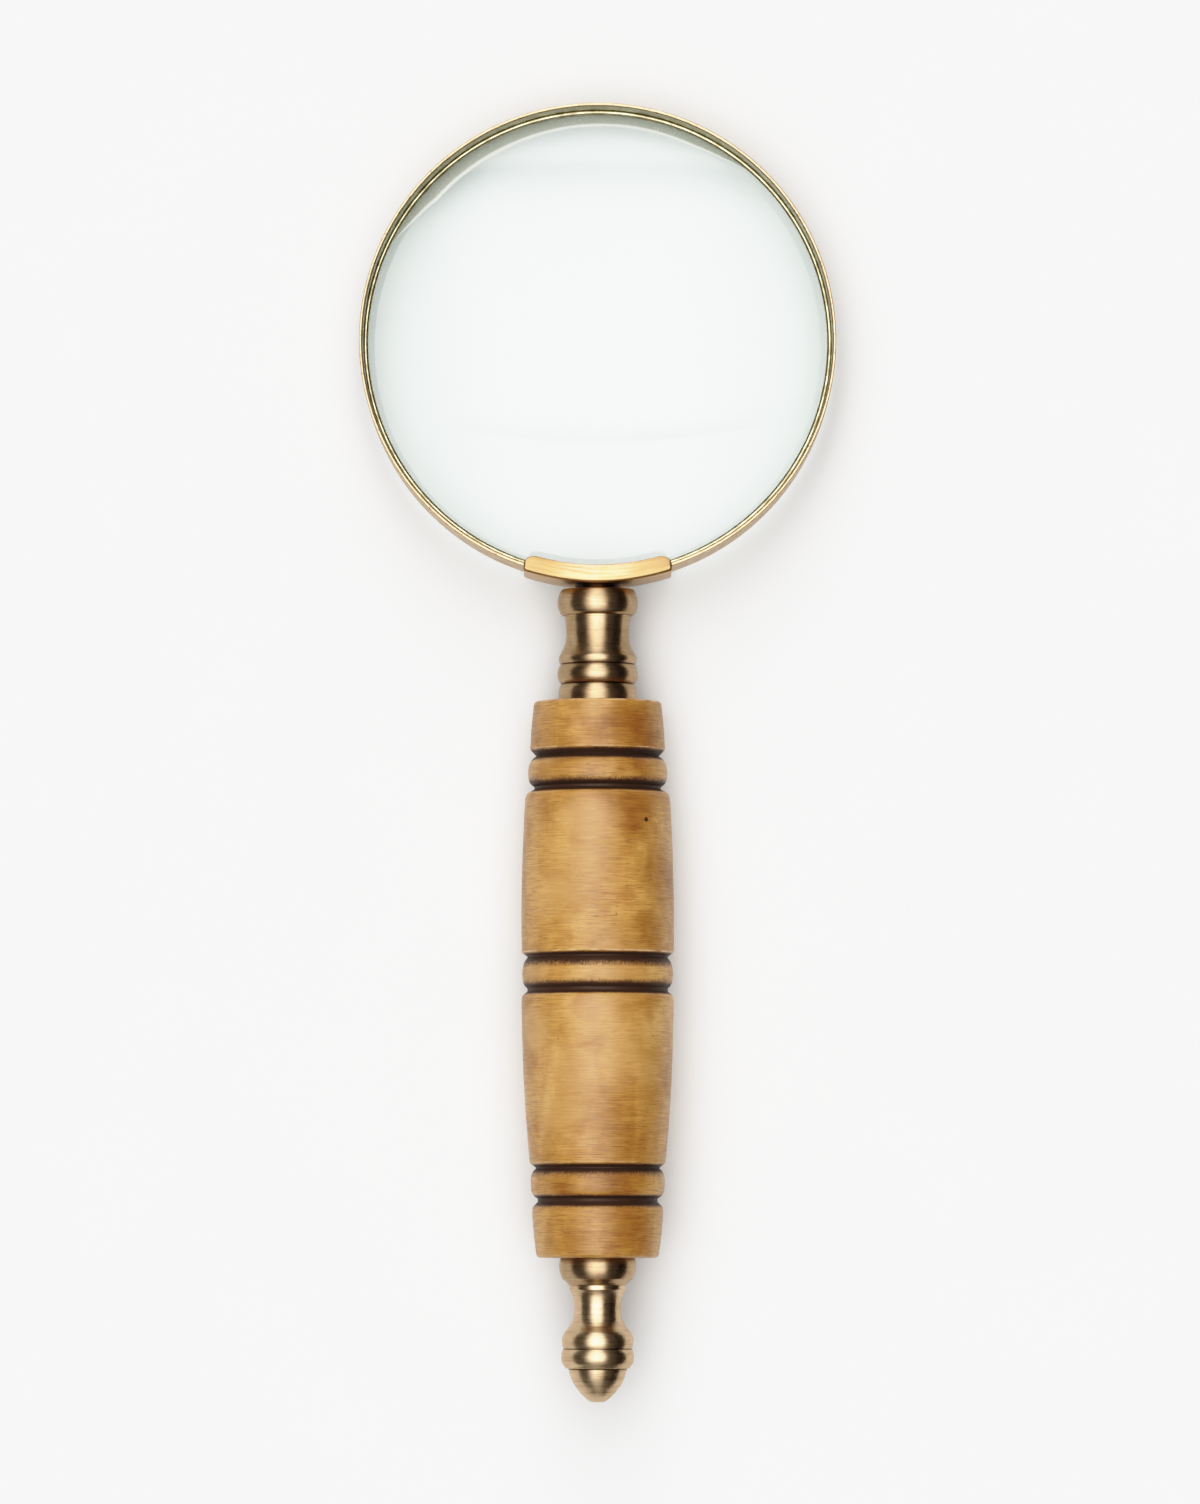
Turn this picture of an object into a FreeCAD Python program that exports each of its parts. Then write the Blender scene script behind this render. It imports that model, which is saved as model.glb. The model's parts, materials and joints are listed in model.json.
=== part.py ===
"""Hand-held magnifying glass: a biconvex lens in a brass band, a brass saddle and neck,
and a turned wooden handle clamped on a steel tie rod that ends in a screwed brass finial.

The pieces are drawn in the glass's own frame: origin at the centre of the lens, +Z along
the optical axis, and the handle running along -Y. A station is a distance from the lens
centre down the handle. The finished pieces are then laid down on the plane Z = 0 as the
glass lies on a table, resting on the far edge of its rim and on the belly of its handle.
Lengths are in millimetres.
"""
import FreeCAD
import Part
import math
import os

# Lens
LENS_DIAMETER = 100.0
LENS_EDGE = 2.0
LENS_CENTRE = 10.8
LENS_BEVEL = 0.45

# Rim band and the two wires that hold the lens in it
BAND_BORE = 100.4
BAND_WALL = 0.8
BAND_HEIGHT = 16.0
BAND_CHAMFER = 0.1
BAND_SPLIT = 10.0
WIRE_DIAMETER = 1.2
WIRE_SEAT = 0.2
WIRE_SEAT_PLAY = 0.02
WIRE_PLAY = 0.05
WIRE_GAP_DEG = 8.0

# Saddle, a channel bent round the band where the band is split
SADDLE_SHEET = 0.9
SADDLE_WEB = 1.1
SADDLE_HALF_WIDTH = 15.8
SADDLE_INNER_RADIUS = 48.3
SADDLE_BEND = 0.8
SADDLE_CORNER = 2.0
SADDLE_BLANK_DEG = 24.0

# Tie rod, with its peened head inside the saddle and a shoulder outside
ROD_DIAMETER = 5.0
ROD_END = 208.0
ROD_END_CHAMFER = 0.6
ROD_TAIL_DIAMETER = 4.0
ROD_HEAD_DIAMETER = 8.4
ROD_HEAD_TO_LENS = 0.2
SHOULDER_DIAMETER = 9.6

# Stations where the pieces of the stack meet
NECK_TOP = 53.0
NECK_JOINT = 58.6
WOOD_TOP = 77.1
WOOD_END = 195.8
FINIAL_JOINT = 201.6
FINIAL_TIP = 226.5

# Bores and their fits
NECK_BORE = 5.4
WOOD_BORE = 6.0
FERRULE_SPIGOT = 11.0
FERRULE_SPIGOT_DEPTH = 5.6
SOCKET_DIAMETER = 11.2
SOCKET_DEPTH = 6.0
RUNNING_GAP = 0.05
LIP_DIAMETER = 9.6
LIP_THICKNESS = 0.8
LIP_SETBACK = 0.75
FINIAL_SPIGOT = 8.0
FINIAL_THREAD_DEPTH = 13.2
DRILL_POINT = 1.2

# M5 washer and nut in the lower end of the handle
WASHER_DIAMETER = 10.0
WASHER_BORE = 5.3
WASHER_THICKNESS = 1.0
NUT_ACROSS_FLATS = 8.0
NUT_HEIGHT = 4.0
NUT_FACE_SHARE = 0.97
NUT_CORNER_HEIGHT = 0.4

# The handle's two swellings: widest station, radius there, and radius of the arc along it
UPPER_BELLY = (124.0, 16.3, 400.0)
LOWER_BELLY = (141.0, 16.2, 350.0)

# The flat at the finial's tip
TIP_FLAT_RADIUS = 1.3

# How far a cutting shape runs past the face that it cuts
OVERRUN = 1.0

LENS_AXIS = FreeCAD.Vector(0, 0, 1)
HANDLE_AXIS = FreeCAD.Vector(0, -1, 0)
CENTRE = FreeCAD.Vector(0, 0, 0)
FULL_TURN = 360.0

BAND_INNER = BAND_BORE / 2
BAND_OUTER = BAND_INNER + BAND_WALL
BAND_HALF = BAND_HEIGHT / 2
SADDLE_OUTER = BAND_OUTER + SADDLE_WEB
WIRE_RADIUS = WIRE_DIAMETER / 2
WIRE_RING_RADIUS = BAND_INNER + WIRE_SEAT - WIRE_RADIUS
WIRE_HEIGHT = LENS_EDGE / 2 + WIRE_RADIUS + WIRE_PLAY


class Outline:
    """A closed half-section, drawn as (along, radius) pairs from one corner to the next."""

    def __init__(self, along, radius, place):
        self.place = place
        self.start = (along, radius)
        self.here = (along, radius)
        self.edges = []

    def line(self, along, radius):
        first = self.place(*self.here)
        last = self.place(along, radius)
        self.edges.append(Part.LineSegment(first, last).toShape())
        self.here = (along, radius)
        return self

    def bow(self, along, radius, rise):
        """An arc whose middle stands `rise` off its chord, away from the axis if positive."""
        run = along - self.here[0]
        climb = radius - self.here[1]
        chord = math.hypot(run, climb)
        middle_along = (along + self.here[0]) / 2 - rise * climb / chord
        middle_radius = (radius + self.here[1]) / 2 + rise * run / chord
        first = self.place(*self.here)
        middle = self.place(middle_along, middle_radius)
        last = self.place(along, radius)
        self.edges.append(Part.Arc(first, middle, last).toShape())
        self.here = (along, radius)
        return self

    def face(self):
        if self.here != self.start:
            self.line(*self.start)
        return Part.Face(Part.Wire(self.edges))


def down_handle(station, radius):
    """A place in the half-plane that is turned about the handle's axis."""
    return FreeCAD.Vector(radius, -station, 0)


def across_lens(height, radius):
    """A place in the half-plane that is turned about the lens's axis, on the handle side."""
    return FreeCAD.Vector(0, -radius, height)


def turned(outline):
    """A piece turned about the handle's axis."""
    return outline.face().revolve(CENTRE, HANDLE_AXIS, FULL_TURN)


def rod_along_handle(radius, first, last):
    """A plain cylinder on the handle's axis, between two stations."""
    return Part.makeCylinder(radius, last - first, FreeCAD.Vector(0, -first, 0), HANDLE_AXIS)


def ring_about_lens(inner, outer, half_height):
    """A plain ring about the lens's axis, centred on the lens."""
    outline = Outline(-half_height, inner, across_lens)
    outline.line(-half_height, outer)
    outline.line(half_height, outer)
    outline.line(half_height, inner)
    return outline.face().revolve(CENTRE, LENS_AXIS, FULL_TURN)


def on_belly(station, belly):
    """The point at a station of one of the handle's two swellings."""
    widest_station, widest_radius, arc = belly
    offset = station - widest_station
    return (station, widest_radius - arc + math.sqrt(arc ** 2 - offset ** 2))


def belly_rise(first, last, belly):
    """How far the middle of a swelling's arc stands off its chord."""
    arc = belly[2]
    half_chord = math.hypot(last[0] - first[0], last[1] - first[1]) / 2
    return arc - math.sqrt(arc ** 2 - half_chord ** 2)


def make_lens():
    """Two equal spherical faces, and a ground edge with a bevel at each face."""
    radius = LENS_DIAMETER / 2
    sag = (LENS_CENTRE - LENS_EDGE) / 2
    sphere = (radius ** 2 + sag ** 2) / (2 * sag)
    bevel_radius = radius - LENS_BEVEL
    bevel_height = LENS_CENTRE / 2 - sphere + math.sqrt(sphere ** 2 - bevel_radius ** 2)
    edge_height = LENS_EDGE / 2 - LENS_BEVEL
    half_way = bevel_radius / 2
    half_height = LENS_CENTRE / 2 - sphere + math.sqrt(sphere ** 2 - half_way ** 2)
    top = across_lens(LENS_CENTRE / 2, 0)
    bottom = across_lens(-LENS_CENTRE / 2, 0)
    upper_corner = across_lens(bevel_height, bevel_radius)
    lower_corner = across_lens(-bevel_height, bevel_radius)
    upper_edge = across_lens(edge_height, radius)
    lower_edge = across_lens(-edge_height, radius)
    edges = [
        Part.Arc(top, across_lens(half_height, half_way), upper_corner).toShape(),
        Part.LineSegment(upper_corner, upper_edge).toShape(),
        Part.LineSegment(upper_edge, lower_edge).toShape(),
        Part.LineSegment(lower_edge, lower_corner).toShape(),
        Part.Arc(lower_corner, across_lens(-half_height, half_way), bottom).toShape(),
        Part.LineSegment(bottom, top).toShape(),
    ]
    return Part.Face(Part.Wire(edges)).revolve(CENTRE, LENS_AXIS, FULL_TURN)


def make_rim_band():
    """A strip rolled into a ring, its ends apart under the saddle, with a seat for each wire."""
    chamfer = BAND_CHAMFER
    outline = Outline(-BAND_HALF, BAND_INNER + chamfer, across_lens)
    outline.line(-BAND_HALF, BAND_OUTER - chamfer)
    outline.line(-BAND_HALF + chamfer, BAND_OUTER)
    outline.line(BAND_HALF - chamfer, BAND_OUTER)
    outline.line(BAND_HALF, BAND_OUTER - chamfer)
    outline.line(BAND_HALF, BAND_INNER + chamfer)
    outline.line(BAND_HALF - chamfer, BAND_INNER)
    outline.line(-BAND_HALF + chamfer, BAND_INNER)
    band = outline.face().revolve(CENTRE, LENS_AXIS, FULL_TURN)
    seat_radius = WIRE_RADIUS + WIRE_SEAT_PLAY
    for side in (1, -1):
        seat_centre = FreeCAD.Vector(0, 0, side * WIRE_HEIGHT)
        band = band.cut(Part.makeTorus(WIRE_RING_RADIUS, seat_radius, seat_centre))
    split_depth = BAND_WALL + 2 * OVERRUN
    split_corner = FreeCAD.Vector(-BAND_SPLIT / 2, -BAND_OUTER - OVERRUN, -BAND_HEIGHT)
    split = Part.makeBox(BAND_SPLIT, split_depth, 2 * BAND_HEIGHT, split_corner)
    return band.cut(split)


def make_retaining_wire(side):
    """A sprung wire ring with its gap under the saddle, on one side of the lens."""
    height = side * WIRE_HEIGHT
    middle = FreeCAD.Vector(0, -WIRE_RING_RADIUS, height)
    circle = Part.makeCircle(WIRE_RADIUS, middle, FreeCAD.Vector(1, 0, 0))
    section = Part.Face(Part.Wire([circle]))
    section.rotate(CENTRE, LENS_AXIS, WIRE_GAP_DEG / 2)
    return section.revolve(CENTRE, LENS_AXIS, FULL_TURN - WIRE_GAP_DEG)


def make_saddle():
    """A channel with a curved web and two flanges, and a hole for the rod's tail."""
    top = BAND_HALF + SADDLE_SHEET
    bend = SADDLE_BEND
    bend_rise = -bend * (1 - math.sqrt(0.5))
    outline = Outline(-top, SADDLE_INNER_RADIUS, across_lens)
    outline.line(-top, SADDLE_OUTER - bend)
    outline.bow(-top + bend, SADDLE_OUTER, -bend_rise)
    outline.line(top - bend, SADDLE_OUTER)
    outline.bow(top, SADDLE_OUTER - bend, -bend_rise)
    outline.line(top, SADDLE_INNER_RADIUS)
    outline.line(BAND_HALF, SADDLE_INNER_RADIUS)
    outline.line(BAND_HALF, BAND_OUTER)
    outline.line(-BAND_HALF, BAND_OUTER)
    outline.line(-BAND_HALF, SADDLE_INNER_RADIUS)
    section = outline.face()
    section.rotate(CENTRE, LENS_AXIS, -SADDLE_BLANK_DEG)
    channel = section.revolve(CENTRE, LENS_AXIS, 2 * SADDLE_BLANK_DEG)
    width = 2 * SADDLE_HALF_WIDTH
    depth = 2 * (top + OVERRUN)
    corner = FreeCAD.Vector(-SADDLE_HALF_WIDTH, -SADDLE_OUTER - OVERRUN, -top - OVERRUN)
    channel = channel.common(Part.makeBox(width, SADDLE_OUTER, depth, corner))
    tail_hole = rod_along_handle(ROD_TAIL_DIAMETER / 2, BAND_INNER, SADDLE_OUTER + OVERRUN)
    channel = channel.cut(tail_hole)
    return channel.makeFillet(SADDLE_CORNER, flange_corners(channel))


def flange_corners(channel):
    """The four short upright edges at the inner corners of the saddle's flanges."""
    corners = []
    for edge in channel.Edges:
        if edge.Length > SADDLE_SHEET * 1.01:
            continue
        middle = edge.CenterOfMass
        distance = math.hypot(middle.x, middle.y)
        at_side = abs(abs(middle.x) - SADDLE_HALF_WIDTH) < 0.01
        if at_side and abs(distance - SADDLE_INNER_RADIUS) < 0.01:
            corners.append(edge)
    return corners


def make_tie_rod():
    """Head, tail, shoulder and long shank in one, the head and shoulder following the web."""
    radius = ROD_DIAMETER / 2
    head_inner = LENS_DIAMETER / 2 + ROD_HEAD_TO_LENS
    head = rod_along_handle(ROD_HEAD_DIAMETER / 2, head_inner - OVERRUN, BAND_OUTER + OVERRUN)
    head = head.common(ring_about_lens(head_inner, BAND_OUTER, BAND_HALF))
    tail = rod_along_handle(ROD_TAIL_DIAMETER / 2, BAND_OUTER - WIRE_SEAT, NECK_TOP)
    shoulder = rod_along_handle(SHOULDER_DIAMETER / 2, BAND_OUTER, NECK_TOP)
    below = FreeCAD.Vector(0, 0, -BAND_HALF)
    shoulder = shoulder.cut(Part.makeCylinder(SADDLE_OUTER, BAND_HEIGHT, below))
    shank_outline = Outline(NECK_TOP - WIRE_SEAT, 0, down_handle)
    shank_outline.line(NECK_TOP - WIRE_SEAT, radius)
    shank_outline.line(ROD_END - ROD_END_CHAMFER, radius)
    shank_outline.line(ROD_END, radius - ROD_END_CHAMFER)
    shank_outline.line(ROD_END, 0)
    shank = turned(shank_outline)
    return head.fuse([tail, shoulder, shank]).removeSplitter()


def make_neck_collar():
    """The round bead at the top of the neck, loose on the rod."""
    bore = NECK_BORE / 2
    outline = Outline(NECK_TOP, bore, down_handle)
    outline.line(NECK_TOP, 7.7)
    outline.bow(58.2, 8.0, 0.7)
    outline.line(NECK_JOINT, 7.5)
    outline.line(NECK_JOINT, bore)
    return turned(outline)


def make_neck_ferrule():
    """Waisted neck with a rolled lip, a bead and a foot, and a spigot that enters the handle."""
    bore = NECK_BORE / 2
    spigot = FERRULE_SPIGOT / 2
    spigot_end = WOOD_TOP + FERRULE_SPIGOT_DEPTH
    outline = Outline(NECK_JOINT, bore, down_handle)
    outline.line(NECK_JOINT, 7.1)
    outline.bow(62.4, 6.7, -0.06)
    outline.bow(65.5, 7.3, -0.18)
    outline.bow(67.4, 8.3, -0.05)
    outline.bow(69.1, 7.95, 0.2)
    outline.bow(73.3, 7.8, 0.75)
    outline.bow(75.1, 8.35, 0.1)
    outline.line(WOOD_TOP, 8.4)
    outline.line(WOOD_TOP, spigot)
    outline.line(spigot_end, spigot)
    outline.line(spigot_end, bore)
    return turned(outline)


def make_wood_handle():
    """One turning: top collar, bead, upper belly, bead, lower belly, bead and end collar."""
    upper_start = on_belly(97.9, UPPER_BELLY)
    upper_end = on_belly(130.75, UPPER_BELLY)
    lower_start = on_belly(140.6, LOWER_BELLY)
    lower_end = on_belly(175.6, LOWER_BELLY)
    socket = SOCKET_DIAMETER / 2
    bore = WOOD_BORE / 2
    outline = Outline(WOOD_TOP, socket, down_handle)
    outline.line(WOOD_TOP, 13.1)
    outline.bow(WOOD_TOP + 0.6, 13.65, 0.16)
    outline.bow(87.3, 14.4, 0.1)
    outline.line(88.8, 13.0)
    outline.bow(90.9, 14.66, 0.35)
    outline.bow(93.7, 14.75, 0.15)
    outline.bow(95.3, 13.5, 0.25)
    outline.line(95.9, 13.5)
    outline.line(96.8, 15.1)
    outline.bow(*upper_start, 0.05)
    outline.bow(*upper_end, belly_rise(upper_start, upper_end, UPPER_BELLY))
    outline.line(131.6, 15.0)
    outline.line(131.9, 15.0)
    outline.bow(133.8, 15.95, 0.16)
    outline.bow(136.8, 16.0, 0.14)
    outline.bow(138.4, 15.0, 0.2)
    outline.line(139.1, 15.0)
    outline.line(139.9, 15.95)
    outline.bow(*lower_start, 0.05)
    outline.bow(*lower_end, belly_rise(lower_start, lower_end, LOWER_BELLY))
    outline.line(176.6, 13.2)
    outline.line(176.9, 13.2)
    outline.bow(178.3, 14.15, 0.16)
    outline.bow(181.5, 14.15, 0.14)
    outline.bow(183.2, 12.75, 0.3)
    outline.line(183.9, 12.75)
    outline.line(185.0, 13.8)
    outline.bow(186.6, 13.95, 0.07)
    outline.bow(WOOD_END - 0.9, 13.1, 0.08)
    outline.bow(WOOD_END, 12.2, 0.25)
    outline.line(WOOD_END, socket)
    outline.line(WOOD_END - SOCKET_DEPTH, socket)
    outline.line(WOOD_END - SOCKET_DEPTH, bore)
    outline.line(WOOD_TOP + SOCKET_DEPTH, bore)
    outline.line(WOOD_TOP + SOCKET_DEPTH, socket)
    return turned(outline)


def make_handle_washer():
    first = WOOD_END - SOCKET_DEPTH
    disc = rod_along_handle(WASHER_DIAMETER / 2, first, first + WASHER_THICKNESS)
    last = first + WASHER_THICKNESS
    return disc.cut(rod_along_handle(WASHER_BORE / 2, first - OVERRUN, last + OVERRUN))


def make_handle_nut():
    """A hexagon nut on the rod, its corners turned down at the face that looks out."""
    first = WOOD_END - SOCKET_DEPTH + WASHER_THICKNESS
    last = first + NUT_HEIGHT
    corner_radius = NUT_ACROSS_FLATS / 2 / math.cos(math.pi / 6)
    corners = []
    for turn in range(7):
        angle = math.radians(60 * turn)
        across = corner_radius * math.cos(angle)
        up = corner_radius * math.sin(angle)
        corners.append(FreeCAD.Vector(across, -first, up))
    blank = Part.Face(Part.makePolygon(corners)).extrude(HANDLE_AXIS * NUT_HEIGHT)
    cone = Outline(first, 0, down_handle)
    cone.line(first, corner_radius)
    cone.line(last - NUT_CORNER_HEIGHT, corner_radius)
    cone.line(last, NUT_ACROSS_FLATS / 2 * NUT_FACE_SHARE)
    cone.line(last, 0)
    blank = blank.common(turned(cone))
    thread_radius = ROD_DIAMETER / 2 + RUNNING_GAP
    thread = rod_along_handle(thread_radius, first - OVERRUN, last + OVERRUN)
    return blank.cut(thread)


def make_finial_collar():
    """The bead against the handle, turning freely on the finial's lipped spigot."""
    lip_bore = LIP_DIAMETER / 2 + RUNNING_GAP
    spigot_bore = FINIAL_SPIGOT / 2 + RUNNING_GAP
    face = WOOD_END + RUNNING_GAP
    shelf = WOOD_END + LIP_SETBACK + LIP_THICKNESS + RUNNING_GAP
    outline = Outline(face, lip_bore, down_handle)
    outline.line(face, 7.95)
    outline.bow(200.4, 7.4, 0.48)
    outline.bow(FINIAL_JOINT, 6.15, -0.1)
    outline.line(FINIAL_JOINT, spigot_bore)
    outline.line(shelf, spigot_bore)
    outline.line(shelf, lip_bore)
    return turned(outline)


def make_finial():
    """Spigot and lip, waisted stem, two beads and a domed button, tapped for the rod."""
    thread = ROD_DIAMETER / 2 + RUNNING_GAP
    lip = LIP_DIAMETER / 2
    spigot = FINIAL_SPIGOT / 2
    lip_start = WOOD_END + LIP_SETBACK
    lip_end = lip_start + LIP_THICKNESS
    stem = FINIAL_JOINT + RUNNING_GAP
    thread_end = WOOD_END + FINIAL_THREAD_DEPTH
    outline = Outline(lip_start, thread, down_handle)
    outline.line(lip_start, lip)
    outline.line(lip_end, lip)
    outline.line(lip_end, spigot)
    outline.line(stem, spigot)
    outline.line(stem, 6.0)
    outline.line(202.6, 6.05)
    outline.bow(203.8, 5.4, -0.06)
    outline.bow(209.2, 5.35, -0.4)
    outline.bow(210.6, 6.15, -0.07)
    outline.line(211.5, 6.95)
    outline.bow(215.2, 7.3, 0.5)
    outline.bow(218.9, 7.1, 0.62)
    outline.line(219.3, 6.85)
    outline.line(219.4, 6.25)
    outline.bow(222.0, 5.45, 0.05)
    outline.bow(224.1, 4.05, 0.09)
    outline.bow(226.0, 2.15, 0.1)
    outline.line(FINIAL_TIP, TIP_FLAT_RADIUS)
    outline.line(FINIAL_TIP, 0)
    outline.line(thread_end + DRILL_POINT, 0)
    outline.line(thread_end, thread)
    return turned(outline)


def lying_tilt():
    """The angle between the handle's axis and the table, from the two places that touch it."""
    widest_station, widest_radius, arc = UPPER_BELLY
    along = widest_station + BAND_OUTER
    across = arc - widest_radius + BAND_HALF
    reach = math.hypot(along, across)
    return math.atan2(along, across) - math.acos(arc / reach)


def lying_placement():
    """Lay the glass on Z = 0, face up, with the middle of its length over the origin."""
    tilt = lying_tilt()
    rim_reach = BAND_OUTER * math.cos(tilt) + BAND_HALF * math.sin(tilt)
    tip_reach = FINIAL_TIP * math.cos(tilt) + TIP_FLAT_RADIUS * math.sin(tilt)
    shift = (tip_reach - rim_reach) / 2
    height = BAND_OUTER * math.sin(tilt) + BAND_HALF * math.cos(tilt)
    turn = FreeCAD.Rotation(FreeCAD.Vector(1, 0, 0), -math.degrees(tilt))
    return FreeCAD.Placement(FreeCAD.Vector(0, shift, height), turn)


def main():
    pieces = {
        "lens": make_lens(),
        "rim_band": make_rim_band(),
        "front_retaining_wire": make_retaining_wire(1),
        "rear_retaining_wire": make_retaining_wire(-1),
        "saddle": make_saddle(),
        "tie_rod": make_tie_rod(),
        "neck_collar": make_neck_collar(),
        "neck_ferrule": make_neck_ferrule(),
        "wood_handle": make_wood_handle(),
        "handle_washer": make_handle_washer(),
        "handle_nut": make_handle_nut(),
        "finial_collar": make_finial_collar(),
        "finial": make_finial(),
    }
    os.makedirs("parts", exist_ok=True)
    placement = lying_placement()
    print("tilt %.4f degrees" % math.degrees(lying_tilt()))
    print("lens centre at y %.4f, z %.4f" % (placement.Base.y, placement.Base.z))
    for name, shape in pieces.items():
        laid = shape.transformed(placement.toMatrix())
        solids = len(laid.Solids)
        print("%-22s solids %d  valid %s  volume %.1f" % (name, solids, laid.isValid(), laid.Volume))
        laid.exportStep(os.path.join("parts", name + ".step"))


main()
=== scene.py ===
"""Looks for the hand-held magnifying glass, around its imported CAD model.

Shapes are in metres and drawn in the glass's own frame: origin at the centre of the lens, +Z
along the optical axis, and the handle running along -Y. A station is a distance from the
lens's centre down the handle. GLASS turns that frame into the row's frame. Materials use the
glass's frame in millimetres.
"""
import json
import math

import bmesh
import bpy
import numpy as np
from mathutils import Matrix, Vector, noise


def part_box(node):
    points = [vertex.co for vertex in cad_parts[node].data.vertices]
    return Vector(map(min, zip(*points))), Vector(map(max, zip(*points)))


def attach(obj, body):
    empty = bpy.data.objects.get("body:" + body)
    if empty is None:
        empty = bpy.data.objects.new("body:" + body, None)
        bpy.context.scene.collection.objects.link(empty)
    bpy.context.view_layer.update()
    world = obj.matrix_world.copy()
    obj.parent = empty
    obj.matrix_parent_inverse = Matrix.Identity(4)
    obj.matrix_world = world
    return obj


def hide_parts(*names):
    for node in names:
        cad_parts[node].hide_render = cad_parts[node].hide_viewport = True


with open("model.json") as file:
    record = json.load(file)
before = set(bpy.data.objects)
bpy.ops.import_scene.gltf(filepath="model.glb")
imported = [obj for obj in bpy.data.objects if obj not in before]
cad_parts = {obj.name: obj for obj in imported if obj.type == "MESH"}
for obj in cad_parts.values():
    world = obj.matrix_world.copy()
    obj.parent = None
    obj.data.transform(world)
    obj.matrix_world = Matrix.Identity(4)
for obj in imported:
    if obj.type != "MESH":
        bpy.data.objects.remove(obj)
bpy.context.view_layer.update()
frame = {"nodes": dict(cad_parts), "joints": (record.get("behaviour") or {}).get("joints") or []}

MM = 0.001

# Corners nearer than this are one corner
TOUCH = 0.004 * MM

# An outline that turns more than this at a point has a corner there, and else is an arc
SHARP = math.radians(25)

# The glass's own frame, from the lens and from the axis that the finial turns about
LENS_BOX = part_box("lens")
LENS_CENTRE = (LENS_BOX[0] + LENS_BOX[1]) / 2
DOWN = Vector(frame["joints"][0]["axis"]).normalized()
ACROSS = Vector((1, 0, 0))
OUT = ACROSS.cross(-DOWN)
TILT = math.atan2(DOWN.z, -DOWN.y)
GLASS = Matrix((
    (ACROSS.x, -DOWN.x, OUT.x, LENS_CENTRE.x),
    (ACROSS.y, -DOWN.y, OUT.y, LENS_CENTRE.y),
    (ACROSS.z, -DOWN.z, OUT.z, LENS_CENTRE.z),
    (0, 0, 0, 1),
))
TO_GLASS = GLASS.inverted()

HANDLE = "handle"
LENS = "lens"


# ---------------------------------------------------------------- sections of CAD nodes

def in_glass_frame(node):
    """A CAD node's corners in the glass's frame, and its edges as pairs of corner numbers."""
    mesh = frame["nodes"][node].data
    corners = np.array([TO_GLASS @ v.co for v in mesh.vertices])
    edges = [tuple(e.vertices) for e in mesh.edges]
    return corners, edges


def section_of(node, about):
    """The outline of a turned CAD node as (along, radius) pairs in order, and if it is closed.

    About the handle's axis the section lies in the half-plane +X, and about the lens's axis
    in the half-plane -Y, where the CAD faces have their seams.
    """
    corners, edges = in_glass_frame(node)
    if about == HANDLE:
        along, radius, off = -corners[:, 1], corners[:, 0], corners[:, 2]
    else:
        along, radius, off = corners[:, 2], -corners[:, 1], corners[:, 0]
    places = []
    number = {}
    for corner in np.flatnonzero((abs(off) < TOUCH) & (radius > -TOUCH)):
        place = Vector((along[corner], max(radius[corner], 0)))
        near = [n for n, other in enumerate(places) if (place - other).length < TOUCH]
        if not near:
            near = [len(places)]
            places.append(place)
        number[corner] = near[0]
    beside = {n: set() for n in range(len(places))}
    for a, b in edges:
        if a in number and b in number and number[a] != number[b]:
            beside[number[a]].add(number[b])
            beside[number[b]].add(number[a])
    join_flat_rings(places, beside)
    ends = [n for n in beside if len(beside[n]) == 1]
    closed = not ends
    first = min(ends or beside, key=lambda n: (places[n].x, -places[n].y))
    order = [first]
    while True:
        onward = [n for n in beside[order[-1]] if n not in order]
        if not onward:
            break
        order.append(max(onward, key=lambda n: places[n].y))
    outline = [places[n] for n in order]
    # a flat end has no seam either, so the outline stops at its edge: its middle is added here
    if not closed and outline[-1].y > TOUCH:
        outline.append(Vector((outline[-1].x, 0)))
    return outline, closed


def join_flat_rings(places, beside):
    """A flat ring has no seam, so its two corners, at one station, are joined here."""
    loose = [n for n in beside if len(beside[n]) == 1 and places[n].y > TOUCH]
    while loose:
        one = loose.pop()
        level = [n for n in loose if abs(places[n].x - places[one].x) < TOUCH]
        if level:
            other = min(level, key=lambda n: abs(places[n].y - places[one].y))
            loose.remove(other)
            beside[one].add(other)
            beside[other].add(one)


def turn_at(before, here, after):
    """The turn of an outline at a point, in radians, positive to the left."""
    first = here - before
    second = after - here
    return math.atan2(first.x * second.y - first.y * second.x, first.dot(second))


def smooth_stretch(points, spacing):
    """Even points on the smooth line through some points, without the last one."""
    if len(points) == 2:
        points = [points[0], points[0].lerp(points[1], 0.5), points[1]]
    before = points[0] * 2 - points[1]
    after = points[-1] * 2 - points[-2]
    chain = [before, *points, after]
    made = []
    for p0, p1, p2, p3 in zip(chain, chain[1:], chain[2:], chain[3:]):
        span = (p2 - p1).length
        lean1 = ((p2 - p1) / span + (p1 - p0) / max((p1 - p0).length, TOUCH)) / 2 * span
        lean2 = ((p2 - p1) / span + (p3 - p2) / max((p3 - p2).length, TOUCH)) / 2 * span
        steps = max(1, round(span / spacing))
        for step in range(steps):
            t = step / steps
            made.append(
                p1 * (2 * t ** 3 - 3 * t ** 2 + 1) + lean1 * (t ** 3 - 2 * t ** 2 + t)
                + p2 * (3 * t ** 2 - 2 * t ** 3) + lean2 * (t ** 3 - t ** 2)
            )
    return made


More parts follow.
